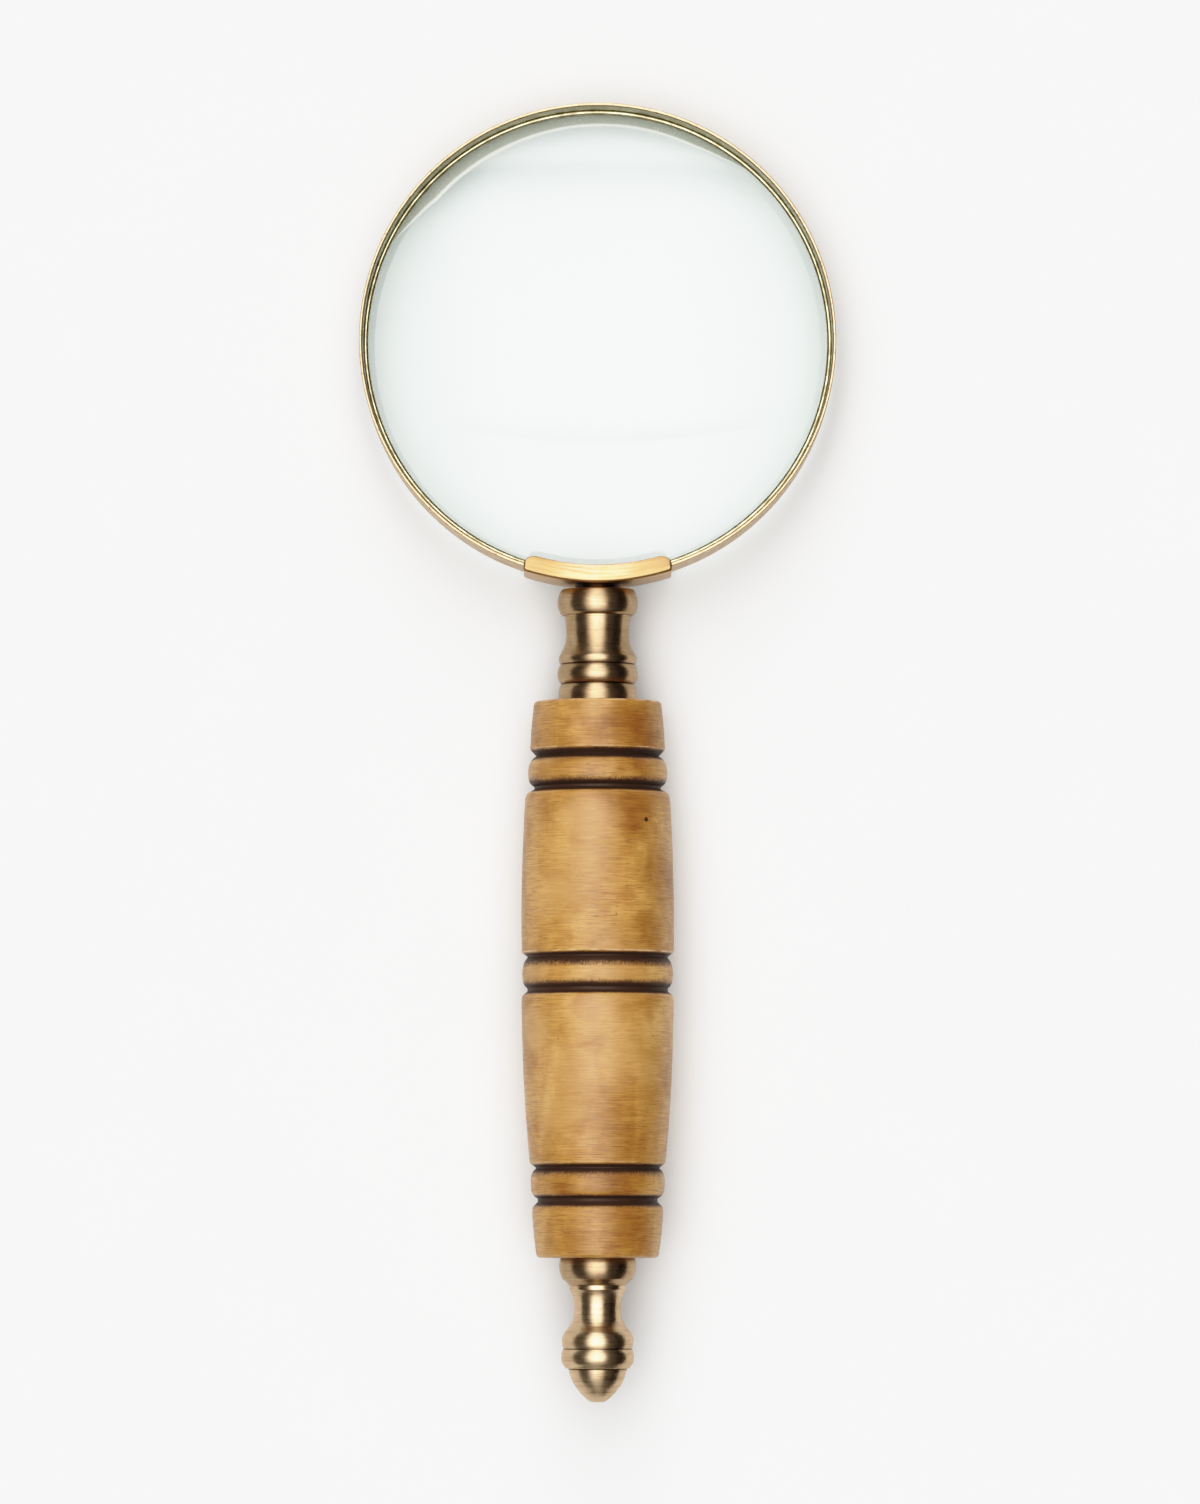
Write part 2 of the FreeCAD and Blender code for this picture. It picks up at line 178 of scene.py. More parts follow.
def fine_outline(points, closed, spacing, softness):
    """The outline with its arcs smooth, its points close and its corners softened."""
    count = len(points)
    if closed:
        points = points + [points[0]]
    corners = [0]
    for n in range(1, count if closed else count - 1):
        if abs(turn_at(points[n - 1], points[n], points[n + 1])) > SHARP:
            corners.append(n)
    corners.append(len(points) - 1)
    made = []
    for first, last in zip(corners, corners[1:]):
        made += smooth_stretch(points[first:last + 1], spacing)
    if not closed:
        made.append(points[-1])
    line = np.array(made)
    for _ in range(round((softness / spacing) ** 2 * 2)):
        if closed:
            line = (np.roll(line, 1, 0) + 2 * line + np.roll(line, -1, 0)) / 4
        else:
            line[1:-1] = (line[:-2] + 2 * line[1:-1] + line[2:]) / 4
    if not closed:
        line[0, 0] = line[1, 0]
        line[-1, 0] = line[-2, 0]
    return line


def groove_depth(line, window):
    """How deep each point of an outline lies in a groove: below the land on both sides."""
    depth = np.zeros(len(line))
    for n, (along, radius) in enumerate(line):
        near = line[abs(line[:, 0] - along) < window]
        land_before = near[near[:, 0] <= along][:, 1].max()
        land_after = near[near[:, 0] >= along][:, 1].max()
        depth[n] = min(land_before, land_after) - radius
    return depth


def outward_bend(line, reach):
    """How sharply each point of an outline stands out: its turn, in radians, over a reach."""
    step = max(1, round(reach / np.linalg.norm(line[1] - line[0])))
    before = line - np.roll(line, step, 0)
    after = np.roll(line, -step, 0) - line
    cross = before[:, 0] * after[:, 1] - before[:, 1] * after[:, 0]
    return -np.arctan2(cross, (before * after).sum(1))


def thinned(line, longest, widest_turn):
    """The numbers of the points to keep: close together only where the outline bends."""
    kept = [0]
    need = 0.0
    for n in range(1, len(line) - 1):
        before = line[n] - line[n - 1]
        after = line[n + 1] - line[n]
        turn = abs(math.atan2(before[0] * after[1] - before[1] * after[0], before @ after))
        need += np.linalg.norm(before) / longest + turn / widest_turn
        if need >= 1:
            kept.append(n)
            need = 0.0
    kept.append(len(line) - 1)
    return kept


# ---------------------------------------------------------------- meshes

def add_values(mesh, name, values):
    attribute = mesh.attributes.new(name, "FLOAT", "POINT")
    attribute.data.foreach_set("value", np.asarray(values, np.float32))


def placed(name, data):
    """A new object in the scene."""
    made = bpy.data.objects.new(name, data)
    bpy.context.scene.collection.objects.link(made)
    return made


def finished_piece(name, corners, faces, body, materials, replaced):
    """A mesh piece in the row's frame, that rides on a body and stands for a CAD node."""
    mesh = bpy.data.meshes.new(name)
    mesh.from_pydata([GLASS @ Vector(c) for c in corners], [], faces)
    mesh.validate()
    shaped = bmesh.new()
    shaped.from_mesh(mesh)
    bmesh.ops.recalc_face_normals(shaped, faces=shaped.faces)
    shaped.to_mesh(mesh)
    shaped.free()
    for polygon in mesh.polygons:
        polygon.use_smooth = True
    for material in materials:
        mesh.materials.append(material)
    piece = placed(name, mesh)
    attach(piece, body)
    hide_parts(replaced)
    return piece


def turned_faces(rings, around, closed, capped_first, capped_last):
    """The quads between rings of corners, with a fan at each end that lies on the axis."""
    faces = []
    last = rings if closed else rings - 1
    for ring in range(last):
        here = ring * around
        there = (ring + 1) % rings * around
        for n in range(around):
            m = (n + 1) % around
            faces.append((here + n, here + m, there + m, there + n))
    centre = rings * around
    if capped_first:
        faces += [(centre, (n + 1) % around, n) for n in range(around)]
        centre += 1
    if capped_last:
        base = (rings - 1) * around
        faces += [(centre, base + n, base + (n + 1) % around) for n in range(around)]
    return faces


def swept_faces(loops, ring):
    """The quads between loops of corners that follow each other, and a face on each end."""
    faces = []
    for loop in range(loops - 1):
        here = loop * ring
        for n in range(ring):
            m = (n + 1) % ring
            faces.append((here + n, here + m, here + ring + m, here + ring + n))
    faces.append(tuple(range(ring)))
    faces.append(tuple((loops - 1) * ring + n for n in reversed(range(ring))))
    return faces


# The spacing of a turned outline's points, before some are left out
OUTLINE_SPACING = 0.04 * MM
# A point is on the outside, not in a bore, beyond this share of the greatest radius
OUTSIDE_SHARE = 0.45
# What lies this close to either end of a turned piece is its end face, not a groove
END_FACE = 0.15 * MM
# How far off the land beside a groove is looked for, and over what length a bend is measured
GROOVE_REACH = 3.2 * MM
BEND_REACH = 0.3 * MM
# How far the outline can turn from one ring of corners to the next
RING_TURN = math.radians(9)


def turned_piece(name, node, body, slot, material, around, longest, softness, waver):
    """A detailed copy of a CAD node turned about the handle's axis.

    Its corners carry how deep they lie in a groove (groove, in mm), how far they stand out
    on an edge (edge, in radians) and how far they are folded in (crease, in radians).
    waver(station, angle, radius) gives a corner's radius.
    """
    points, closed = section_of(node, HANDLE)
    line = fine_outline(points, closed, OUTLINE_SPACING, softness)
    stations, radii = line.T
    outer = radii > radii.max() * OUTSIDE_SHARE
    inside_ends = (stations > stations.min() + END_FACE) & (stations < stations.max() - END_FACE)
    outside = np.where(outer[:, None], line, 0)
    depth = groove_depth(outside, GROOVE_REACH) * outer * inside_ends
    bend = outward_bend(line, BEND_REACH) * outer
    kept = thinned(line, longest, RING_TURN)
    if closed:
        kept = kept[:-1]
    capped_first = not closed and line[kept[0], 1] < TOUCH
    capped_last = not closed and line[kept[-1], 1] < TOUCH
    ends = []
    if capped_first:
        ends.append(kept.pop(0))
    if capped_last:
        ends.append(kept.pop())
    corners = []
    values = []
    for n in kept:
        station, radius = line[n]
        for step in range(around):
            angle = 2 * math.pi * step / around
            real = waver(station, angle, radius) if outer[n] else radius
            corners.append((real * math.cos(angle), -station, real * math.sin(angle)))
            values.append((depth[n] / MM, bend[n]))
    for n in ends:
        corners.append((0, -line[n, 0], 0))
        values.append((0, 0))
    faces = turned_faces(len(kept), around, closed, capped_first, capped_last)
    piece = finished_piece(name, corners, faces, body, [material], node)
    values = np.array(values)
    add_values(piece.data, "groove", values[:, 0])
    add_values(piece.data, "edge", values[:, 1].clip(0, None))
    add_values(piece.data, "crease", (-values[:, 1]).clip(0, None))
    return piece


def hand_turned(station, angle, radius):
    """Wood that has moved a little since it was turned, with faint tool marks."""
    around = Vector((math.cos(angle), math.sin(angle), station / (30 * MM)))
    out_of_round = 0.05 * MM * noise.noise(around * 0.8)
    tool = 0.012 * MM * noise.noise(Vector((station / (1.4 * MM), around.x, around.y)))
    return radius + out_of_round + tool


def polished_brass(station, angle, radius):
    """Brass turned on a lathe and rubbed by hand."""
    around = Vector((math.cos(angle), math.sin(angle), station / (4 * MM)))
    return radius + 0.008 * MM * noise.noise(around * 1.6)


# The lens's edge is drawn ground off centre, wider in one stretch, as a frosted crescent of
# painted shade standing in for the rim's inner wall in shade seen through the glass: degrees
# round the lens from its right, and extra width in millimetres
SHADE_CRESCENT_WIDTH = (
    (48, 0.0), (56, 1.6), (64, 2.5), (80, 2.6), (95, 2.8), (115, 3.2), (138, 3.35), (147, 2.0),
    (156, 0.0),
)
LENS_AROUND = 480
# How far inside its edge the lens's bevels are, how far chips reach from there, and their depth
BEVEL_INSET = 0.22 * MM
CHIP_REACH = 0.3 * MM
CHIP_DEPTH = 0.2 * MM
# How far inside the lens's edge the frosted crescent of painted shade starts, and where the
# lens's reshaping beside it has faded out
SHADE_CRESCENT_EDGE = 0.5 * MM
POLISHED_EDGE = 9 * MM


def make_lens_piece(glass, ground):
    """The lens, its edge drawn ground off centre into a frosted crescent of painted shade, with
    tiny chips along both bevels.

    lip is 1 where the ground edge meets the polished face, and falls to 0 on both sides.
    """
    points, closed = section_of("lens", LENS)
    line = fine_outline(points, closed, spacing=0.05 * MM, softness=0.06 * MM)
    kept = thinned(line, longest=1.6 * MM, widest_turn=math.radians(14))[1:-1]
    rim_radius = line[:, 1].max()
    front = line[line[:, 0] > 0]
    front = front[np.argsort(front[:, 1])]
    ground_from = rim_radius - SHADE_CRESCENT_EDGE
    polished_to = rim_radius - POLISHED_EDGE
    corners = []
    lips = []
    for n in kept:
        height, radius = line[n]
        at_bevel = max(0.0, 1 - abs(rim_radius - BEVEL_INSET - radius) / CHIP_REACH)
        share = min(max((radius - polished_to) / (ground_from - polished_to), 0), 1)
        if height < 0 or radius > ground_from:
            share = 0
        for step in range(LENS_AROUND):
            angle = 2 * math.pi * step / LENS_AROUND
            place = Vector((math.cos(angle), math.sin(angle), height / MM))
            chip = noise.noise(place * 41) + 0.6 * noise.noise(place * 97)
            real = radius - CHIP_DEPTH * at_bevel * max(0.0, chip)
            level = height
            # Painted shade: the polished face is pulled in here to widen the frosted crescent
            if share:
                width = np.interp(math.degrees(angle), *zip(*SHADE_CRESCENT_WIDTH)) * MM
                real -= width * share ** 2
                level = float(np.interp(real, front[:, 1], front[:, 0]))
            corners.append((real * math.cos(angle), real * math.sin(angle), level))
            lips.append(share ** 4)
    lips += [0, 0]
    corners.append((0, 0, line[0, 0]))
    corners.append((0, 0, line[-1, 0]))
    faces = turned_faces(len(kept), LENS_AROUND, False, True, True)
    piece = finished_piece(
        "lens_blank", corners, faces, "glass_and_handle", [glass, ground], "lens"
    )
    reach = line[kept, 1]
    for polygon in piece.data.polygons:
        rings = [v // LENS_AROUND for v in polygon.vertices if v < len(kept) * LENS_AROUND]
        polygon.material_index = int(max(reach[rings]) > ground_from)
    add_values(piece.data, "lip", lips)
    return piece


BAND_AROUND = 720
# The band's inner edges are rolled over: the height of wall that moves, how far the edge
# drops at the bore, and over what width
ROLL_DEPTH = 0.6 * MM
ROLL_DROP = 0.45 * MM
ROLL_WIDTH = 0.5 * MM
# The worn stretch of the wall beside each edge, and the deepest nick in it
BAND_WEAR = 0.35 * MM
BAND_NICK = 0.16 * MM


def make_band_piece(brass):
    """The rim band, its section read where the strip ends under the saddle.

    Its inner edges are rolled over, as a drawn strip's are.
    """
    corners, _ = in_glass_frame("rim_band")
    radius = np.hypot(corners[:, 0], corners[:, 1])
    cut = corners[:, 0][corners[:, 1] < -0.9 * radius.max()]
    split = abs(cut).min()
    ends = (abs(corners[:, 0] - split) < TOUCH) & (corners[:, 1] < 0)
    middle = (radius[ends].min() + radius[ends].max()) / 2
    places = sorted({
        (round(z / MM, 3), round(r / MM, 3)) for z, r in zip(corners[ends, 2], radius[ends])
    })
    inner = [Vector(p) * MM for p in places if p[1] * MM < middle]
    outer = [Vector(p) * MM for p in places if p[1] * MM >= middle]
    line = fine_outline(outer + inner[::-1], True, spacing=0.03 * MM, softness=0.07 * MM)
    top = line[:, 0].max()
    inward = ((middle + 0.1 * MM - line[:, 1]) / ROLL_WIDTH).clip(0, 1)
    close = (1 - (top - abs(line[:, 0])) / ROLL_DEPTH).clip(0, 1)
    line[:, 0] -= np.sign(line[:, 0]) * close * ROLL_DROP * (1 - np.sqrt(1 - inward ** 2))
    kept = thinned(line, longest=1.0 * MM, widest_turn=math.radians(16))[:-1]
    gap = math.asin(split / radius.max())
    made = []
    wear = []
    for step in range(BAND_AROUND + 1):
        angle = -math.pi / 2 + gap + (2 * math.pi - 2 * gap) * step / BAND_AROUND
        for n in kept:
            height, reach = line[n]
            place = Vector((math.cos(angle), math.sin(angle), height / (40 * MM)))
            out_of_round = 0.04 * MM * noise.noise(place * 1.3)
            at_edge = max(0.0, 1 - (top - abs(height)) / BAND_WEAR)
            small = max(0.0, noise.noise(place * 60) - 0.18)
            large = max(0.0, noise.noise(place * 23))
            nick = small + 0.4 * large
            drop = BAND_NICK * nick * at_edge * math.copysign(1, height)
            real = reach + out_of_round
            made.append((real * math.cos(angle), real * math.sin(angle), height - drop))
            wear.append(at_edge)
    faces = swept_faces(BAND_AROUND + 1, len(kept))
    piece = finished_piece(
        "rim_strip", made, faces, "glass_and_handle", [brass], "rim_band"
    )
    add_values(piece.data, "edge", wear)
    return piece


def rounded_path(corners, radii, spacing):
    """Points along a closed outline of corners, each rounded with its own radius."""
    path = []
    count = len(corners)
    for n in range(count):
        here = corners[n]
        back = (corners[n - 1] - here).normalized()
        onward = (corners[(n + 1) % count] - here).normalized()
        half = back.angle(onward) / 2
        reach = radii[n] / math.tan(half)
        start = here + back * reach
        end = here + onward * reach
        steps = max(2, round(radii[n] * (math.pi - 2 * half) / spacing))
        middle = here + (back + onward).normalized() * radii[n] / math.sin(half)
        first = (start - middle).normalized()
        last = (end - middle).normalized()
        for step in range(steps + 1):
            path.append(middle + first.slerp(last, step / steps) * radii[n])
    return path


# The saddle's radii: its flanges' corners, its two bends, the sheet's edges, the inner folds
SADDLE_CORNER = 3.2 * MM
SADDLE_BEND = 0.75 * MM
SADDLE_LIP = 0.16 * MM
SADDLE_FOLD = 0.05 * MM
# Its sections across each corner and across its middle, and the spacing round its radii
CORNER_SECTIONS = 26
MIDDLE_SECTIONS = 61
SADDLE_SPACING = 0.08 * MM
# The sheet's edge is pressed down at the two ends: how far, and over what width
END_PRESS = 0.14 * MM
PRESSED_WIDTH = 0.5 * MM


def make_saddle_piece(brass):
    """The saddle: a channel bent round the rim, its flanges rounded off at their corners."""
    corners, _ = in_glass_frame("saddle")
    radius = np.hypot(corners[:, 0], corners[:, 1])
    half_width = corners[:, 0].max()
    top = corners[:, 2].max()
    outer = radius.max()
    inner = radius.min()
    band, _ = in_glass_frame("rim_band")
    band_top = band[:, 2].max()
    band_outer = np.hypot(band[:, 0], band[:, 1]).max()
    corner_x = half_width - SADDLE_CORNER
    band_end = math.sqrt(band_outer ** 2 - half_width ** 2)
    fall = band_end - math.sqrt(inner ** 2 - half_width ** 2) - 0.05 * MM
    across = np.concatenate([
        np.linspace(-half_width, -corner_x, CORNER_SECTIONS)[:-1],
        np.linspace(-corner_x, corner_x, MIDDLE_SECTIONS),
        np.linspace(corner_x, half_width, CORNER_SECTIONS)[1:],
    ])
    # points gather towards the ends, where the corners turn fastest
    side = abs(across) > corner_x
    turn = np.clip((abs(across) - corner_x) / SADDLE_CORNER, 0, 1) * math.pi / 2
    rounded = np.sign(across) * (corner_x + SADDLE_CORNER * np.sin(turn))
    across = np.where(side, rounded, across)
    made = []
    for n, x in enumerate(across):
        tip = -math.sqrt(inner ** 2 - x ** 2) - fall * (1 - math.cos(turn[n]))
        web_out = -math.sqrt(outer ** 2 - x ** 2)
        web_in = -math.sqrt(band_outer ** 2 - x ** 2)
        ease = END_PRESS * max(0.0, 1 - (half_width - abs(x)) / PRESSED_WIDTH) ** 2
        section = [
            Vector((web_out + ease, -top + ease)), Vector((web_out + ease, top - ease)),
            Vector((tip, top - ease)), Vector((tip, band_top)),
            Vector((web_in, band_top)), Vector((web_in, -band_top)),
            Vector((tip, -band_top)), Vector((tip, -top + ease)),
        ]
        # a fold can't be wider than half of a short flange
        fold = min(SADDLE_FOLD, abs(web_in - tip) * 0.45)
        lips = [SADDLE_LIP] * 2
        radii = [SADDLE_BEND, SADDLE_BEND, *lips, fold, fold, *lips]
        loop = rounded_path(section, radii, SADDLE_SPACING)
        made.append([(x, p.x, p.y) for p in loop])
    ring = min(len(loop) for loop in made)
    assert ring == max(len(loop) for loop in made), "the saddle's sections differ"
    points = [p for loop in made for p in loop]
    faces = swept_faces(len(made), ring)
    return finished_piece(
        "saddle_channel", points, faces, "glass_and_handle", [brass], "saddle"
    )


# ---------------------------------------------------------------- materials

# The colour sockets of a Mix node, which has others for numbers and vectors
MIX_SHARE, MIX_FIRST, MIX_SECOND, MIX_RESULT = 0, 6, 7, 2


class Shader:
    """A node material, built with short calls."""

    def __init__(self, name):
        self.material = bpy.data.materials.new(name)
        self.material.use_nodes = True
        self.tree = self.material.node_tree
        self.tree.nodes.clear()
        self.output = self.node("OutputMaterial")
        self.place = self.mapped(self.node("TexCoord").outputs["Object"])

    def node(self, kind, **settings):
        made = self.tree.nodes.new("ShaderNode" + kind)
        for name, value in settings.items():
            setattr(made, name, value)
        return made

    def link(self, value, socket):
        if isinstance(value, bpy.types.NodeSocket):
            self.tree.links.new(value, socket)
        else:
            socket.default_value = value

    def mapped(self, row_place):
        """Places in the glass's frame, in millimetres."""
        lay = self.node("Mapping", vector_type="POINT")
        self.link(row_place, lay.inputs["Vector"])
        lay.inputs["Rotation"].default_value = (TILT, 0, 0)
        lay.inputs["Location"].default_value = TO_GLASS.translation
        grow = self.node("VectorMath", operation="SCALE")
        self.link(lay.outputs[0], grow.inputs[0])
        grow.inputs["Scale"].default_value = 1 / MM
        return grow.outputs[0]

    def parts_of_place(self):
        """The glass's own X, Y and Z of the surface, in millimetres. Y is minus the station."""
        apart = self.node("SeparateXYZ")
        self.link(self.place, apart.inputs[0])
        return apart.outputs

    def math(self, operation, a, b=0.0):
        made = self.node("Math", operation=operation)
        self.link(a, made.inputs[0])
        self.link(b, made.inputs[1])
        return made.outputs[0]

    def blobs(self, size, detail=3.0, rough=0.5, place=None, offset=0.0, distortion=0.0):
        """A noise node whose blobs measure size millimetres along X, Y and Z."""
        stretch = self.node("Mapping", vector_type="POINT")
        self.link(place or self.place, stretch.inputs["Vector"])
        stretch.inputs["Scale"].default_value = [1 / s for s in size]
        stretch.inputs["Location"].default_value = (offset, offset, offset)
        made = self.node("TexNoise")
        self.link(stretch.outputs[0], made.inputs["Vector"])
        made.inputs["Scale"].default_value = 1.0
        made.inputs["Detail"].default_value = detail
        made.inputs["Roughness"].default_value = rough
        made.inputs["Distortion"].default_value = distortion
        return made

    def noise(self, *measures, **options):
        """Noise from 0 to 1, with the measures and options of blobs."""
        return self.blobs(*measures, **options).outputs["Fac"]

    def pushed_about(self, size, reach):
        """Places moved by noise, by up to half of reach millimetres each way."""
        level = self.node("VectorMath", operation="SUBTRACT")
        self.link(self.blobs(size).outputs["Color"], level.inputs[0])
        level.inputs[1].default_value = (0.5, 0.5, 0.5)
        grow = self.node("VectorMath", operation="MULTIPLY_ADD")
        self.link(level.outputs[0], grow.inputs[0])
        grow.inputs[1].default_value = (reach, reach, reach)
        self.link(self.place, grow.inputs[2])
        return grow.outputs[0]

    def ramp(self, value, low, high, to_low=0.0, to_high=1.0):
        """A value's smooth step from to_low, at low, to to_high, at high."""
        made = self.node("MapRange", clamp=True, interpolation_type="SMOOTHSTEP")
        self.link(value, made.inputs["Value"])
        made.inputs["From Min"].default_value = low
        made.inputs["From Max"].default_value = high
        made.inputs["To Min"].default_value = to_low
        made.inputs["To Max"].default_value = to_high
        return made.outputs[0]

    def mix(self, share, first, second, blend="MIX"):
        made = self.node("Mix", data_type="RGBA", blend_type=blend)
        self.link(share, made.inputs[MIX_SHARE])
        self.link(first, made.inputs[MIX_FIRST])
        self.link(second, made.inputs[MIX_SECOND])
        return made.outputs[MIX_RESULT]

    def value_of(self, name):
        """A value that a mesh carries at its corners."""
        return self.node("Attribute", attribute_name=name).outputs["Fac"]

    def bump(self, height, distance):
        made = self.node("Bump")
        self.link(height, made.inputs["Height"])
        made.inputs["Distance"].default_value = distance
        made.inputs["Strength"].default_value = 1.0
        return made.outputs[0]

    def surface(self, **values):
        """A Principled surface. Underscores in a name stand for spaces."""
        made = self.node("BsdfPrincipled")
        for name, value in values.items():
            self.link(value, made.inputs[name.replace("_", " ")])
        self.link(made.outputs[0], self.output.inputs["Surface"])
        return made


def tone(red, green, blue):
    """A colour given as it looks on a screen, from 0 to 255, as the shader's linear colour."""
    linear = []
    for part in (red, green, blue):
        share = part / 255
        linear.append(share / 12.92 if share <= 0.04045 else ((share + 0.055) / 1.055) ** 2.4)
    return (*linear, 1.0)


def distance_to(shader, point, place=None):
    """How far the surface is from a point of the glass's frame, in millimetres."""
    made = shader.node("VectorMath", operation="DISTANCE")
    shader.link(place or shader.place, made.inputs[0])
    made.inputs[1].default_value = point
    return made.outputs["Value"]


# How far the handle's skin is from its axis, on average, in mm
WOOD_SKIN = 15.6
# The wood's figure: millimetres to the right, station and size in millimetres, and how amber
# (below 0) or how pale the cloud is
WOOD_CLOUDS = (
    (-12, 82, 7, -0.5), (7, 85, 8, -0.8), (-8, 89, 6, -0.4), (-2, 80, 4, 0.4), (10, 92, 5, -0.4),
    (0, 91, 4, -0.5), (9, 100, 8, -0.9), (-13, 101, 6, -0.4), (13, 113, 7, -0.7),
    (11, 127, 7, -0.8), (2, 128, 6, -0.4), (-3, 103, 8, 0.8), (-4, 111, 8, 0.7),
    (-7, 118, 8, 0.8), (3, 135, 8, 0.6), (9, 136, 6, 0.5), (-1, 144, 9, 0.7), (5, 152, 9, 0.6),
    (-6, 156, 9, 0.7), (-7, 165, 8, 0.7), (9, 156, 7, 0.5), (-13, 135, 5, 0.5),
    (-13, 148, 7, 0.7), (11, 147, 5, 0.5), (13, 85, 5, -0.8), (6, 172, 9, -0.6),
    (5, 181, 9, -0.9), (-9, 181, 7, -0.6), (8, 190, 9, -0.8), (-6, 192, 9, -0.5),
)
# What an amber cloud multiplies the wood's colour by
AMBER = (0.62, 0.46, 0.28, 1)
# Small dark pits in the handle's skin: station, angle from the top towards the right in
# degrees, and radius
GRAIN_PITS = (
    (102.9, 41, 0.5), (107.1, 49, 0.16), (108.0, 50, 0.16), (112.9, 4, 0.18), (150.9, 33, 0.22),
)


def wood_ground(s, lines, dashes):
    """Honey stain, uneven and streaked round the handle with the lathe's lines and dashes."""
    clouds = s.noise((13, 19, 13), 3.5, 0.5, distortion=0.5)
    patches = s.noise((7, 9, 7), 2.5, 0.5, offset=31)
    bands = s.noise((26, 2.4, 26), 3.0, 0.6, offset=7)
    fibre = s.noise((0.7, 16, 0.7), 3.0, 0.6, offset=5)
    colour = s.mix(s.ramp(clouds, 0.34, 0.66), tone(166, 118, 49), tone(196, 155, 87))
    colour = s.mix(s.ramp(patches, 0.52, 0.74, 0, 0.7), colour, tone(155, 99, 36))
    colour = s.mix(s.ramp(bands, 0.5, 0.75, 0, 0.35), colour, tone(168, 116, 51))
    colour = s.mix(s.ramp(lines, 0.46, 0.7, 0, 0.6), colour, tone(143, 93, 41))
    colour = s.mix(s.ramp(lines, 0.5, 0.3, 0, 0.35), colour, tone(214, 174, 109))
    colour = s.mix(s.ramp(dashes, 0.56, 0.7, 0, 0.6), colour, tone(126, 77, 33))
    return s.mix(s.ramp(fibre, 0.55, 0.75, 0, 0.16), colour, tone(143, 93, 44))


def wood_figure(s, colour):
    """Amber and pale clouds, with wandering edges."""
    wander = s.pushed_about((7, 5, 7), 10.0)
    amber = pale = 0.0
    for across, station, size, strength in WOOD_CLOUDS:
        point = (across, -station, math.sqrt(WOOD_SKIN ** 2 - across ** 2))
        near = distance_to(s, point, wander)
        mask = s.ramp(near, size * 1.3, size * 0.2, 0, abs(strength))
        if strength < 0:
            amber = s.math("MAXIMUM", amber, mask)
        else:
            pale = s.math("MAXIMUM", pale, mask)
    colour = s.mix(s.math("MULTIPLY", pale, 0.62), colour, tone(212, 177, 119))
    return s.mix(amber, colour, s.mix(1.0, colour, AMBER, "MULTIPLY"))


def worn_edges(s, colour):
    """Paler wood where the edges beside the grooves are rubbed."""
    rubbed = s.ramp(s.value_of("edge"), 0.25, 0.8)
    chafed = s.math("MULTIPLY", rubbed, s.ramp(s.noise((3, 1, 3), 3.0), 0.35, 0.6))
    return s.mix(s.math("MULTIPLY", chafed, 0.75), colour, tone(236, 208, 170))


def scorched_grooves(s, colour):
    """Grooves burnt dark, their edges fraying along the grain, and how burnt they are."""
    groove = s.value_of("groove")
    fray = s.noise((0.22, 1.3, 0.22), 3.0, 0.7, offset=17)
    patchy = s.noise((6, 30, 6), 2.0, 0.5, offset=23)
    ragged = s.math("ADD", s.math("SUBTRACT", fray, 0.5),
                    s.math("MULTIPLY", s.math("SUBTRACT", patchy, 0.5), 0.35))
    ragged = s.math("MULTIPLY", ragged, s.ramp(groove, 0.0, 0.25, 0.35, 1.0))
    scorch = s.math("ADD", groove, ragged)
    burnt = s.ramp(scorch, 0.1, 0.5)
    singed = s.math("MULTIPLY", s.ramp(scorch, 0.02, 0.2), 0.7)
    colour = s.mix(singed, colour, tone(128, 88, 48))
    return s.mix(burnt, colour, tone(62, 37, 16)), burnt


def grain_pits(s):
    """Where the wood has a pit, from 0 to 1: the large ones in their places, and flecks."""
    pits = 0.0
    for station, angle, size in GRAIN_PITS:
        turn = math.radians(angle)
        point = (WOOD_SKIN * math.sin(turn), -station, WOOD_SKIN * math.cos(turn))
        mask = s.ramp(distance_to(s, point), size * 1.25, size * 0.75)
        pits = s.math("MAXIMUM", mask, pits)
    flecks = s.node("TexVoronoi", feature="F1")
    s.link(s.place, flecks.inputs["Vector"])
    flecks.inputs["Scale"].default_value = 0.22
    small = s.ramp(flecks.outputs["Distance"], 0.05, 0.025)
    return s.math("MAXIMUM", pits, s.math("MULTIPLY", small, 0.6))


def make_wood():
    """Honey stained wood: cloudy colour, lathe lines, scorched grooves and worn edges."""
    s = Shader("turned_wood_finish")
    lines = s.noise((5.5, 0.24, 5.5), 4.0, 0.65, offset=3)
    dashes = s.noise((2.6, 0.17, 2.6), 2.0, 0.5, offset=11, distortion=0.4)
    pits = grain_pits(s)
    colour = wood_ground(s, lines, dashes)
    colour = wood_figure(s, colour)
    colour = worn_edges(s, colour)
    colour, burnt = scorched_grooves(s, colour)
    colour = s.mix(pits, colour, tone(58, 34, 20))
    rough = s.ramp(s.noise((4, 0.5, 4), 3.0, offset=41), 0.3, 0.7, 0.4, 0.54)
    rough = s.math("ADD", rough, s.math("MULTIPLY", burnt, 0.3))
    relief = s.math("ADD", s.math("MULTIPLY", lines, 0.6), s.math("MULTIPLY", dashes, 0.4))
    relief = s.math("SUBTRACT", relief, s.math("MULTIPLY", pits, 6.0))
    s.surface(Base_Color=colour, Roughness=rough, Normal=s.bump(relief, 0.02 * MM),
              Coat_Weight=0.25, Coat_Roughness=0.36)
    return s.material


